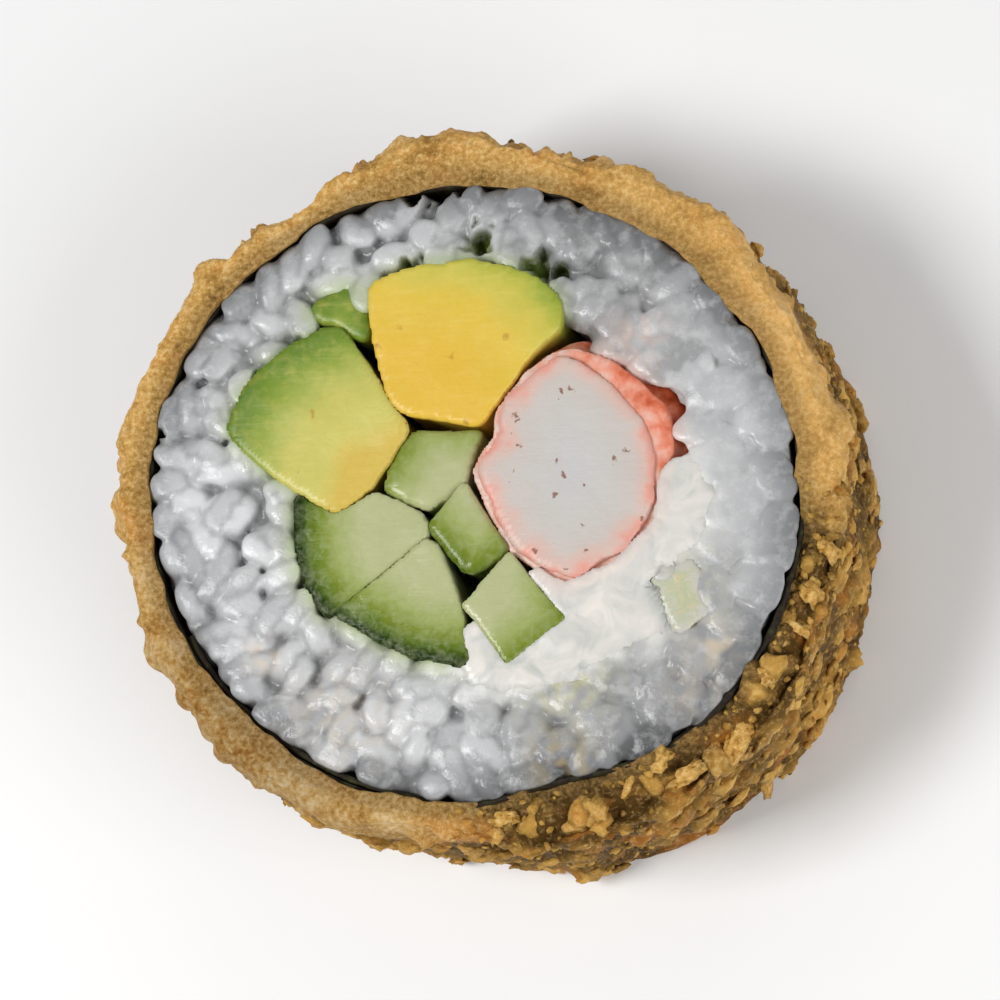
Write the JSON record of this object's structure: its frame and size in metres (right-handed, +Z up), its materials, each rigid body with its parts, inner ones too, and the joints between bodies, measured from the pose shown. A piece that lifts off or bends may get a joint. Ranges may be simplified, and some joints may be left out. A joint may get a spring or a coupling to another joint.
{
  "type": "sushi roll slice",
  "caption": "Slice of a fried, crumb-coated sushi roll on its cut face: nori round rice, with crab stick, avocado, cucumber and cream cheese in the middle.",
  "frame": {"origin": "middle of the underside, the lower cut face", "axes": "+Z up along the roll's own axis, towards the shown cut face; +X and +Y across the cut face"},
  "size_m": [0.0654, 0.0628, 0.0223],
  "materials": {
    "fried_crumb": "rough golden-brown fried crumb",
    "nori": "near-black dried seaweed",
    "rice": "moist translucent cooked rice",
    "crab_stick": "moist pale crab stick",
    "crab_stick_skin": "moist salmon-pink skin",
    "avocado": "soft buttery yellow to green",
    "cucumber": "wet pale green flesh with dark green skin",
    "cream_cheese": "smooth white spread"
  },
  "bodies": {
    "root": {"crumb_coating": "fried_crumb", "nori": "nori", "rice": "rice", "crab_stick_core": "crab_stick", "crab_stick_skin": "crab_stick_skin", "avocado_top": "avocado", "avocado_left": "avocado", "avocado_end": "avocado", "cucumber_wedge_left": "cucumber", "cucumber_wedge_lower": "cucumber", "cucumber_stick_inner": "cucumber", "cucumber_stick_lower": "cucumber", "cucumber_stick_right": "cucumber", "cucumber_heart": "cucumber", "cream_cheese": "cream_cheese"}
  },
  "joints": []
}
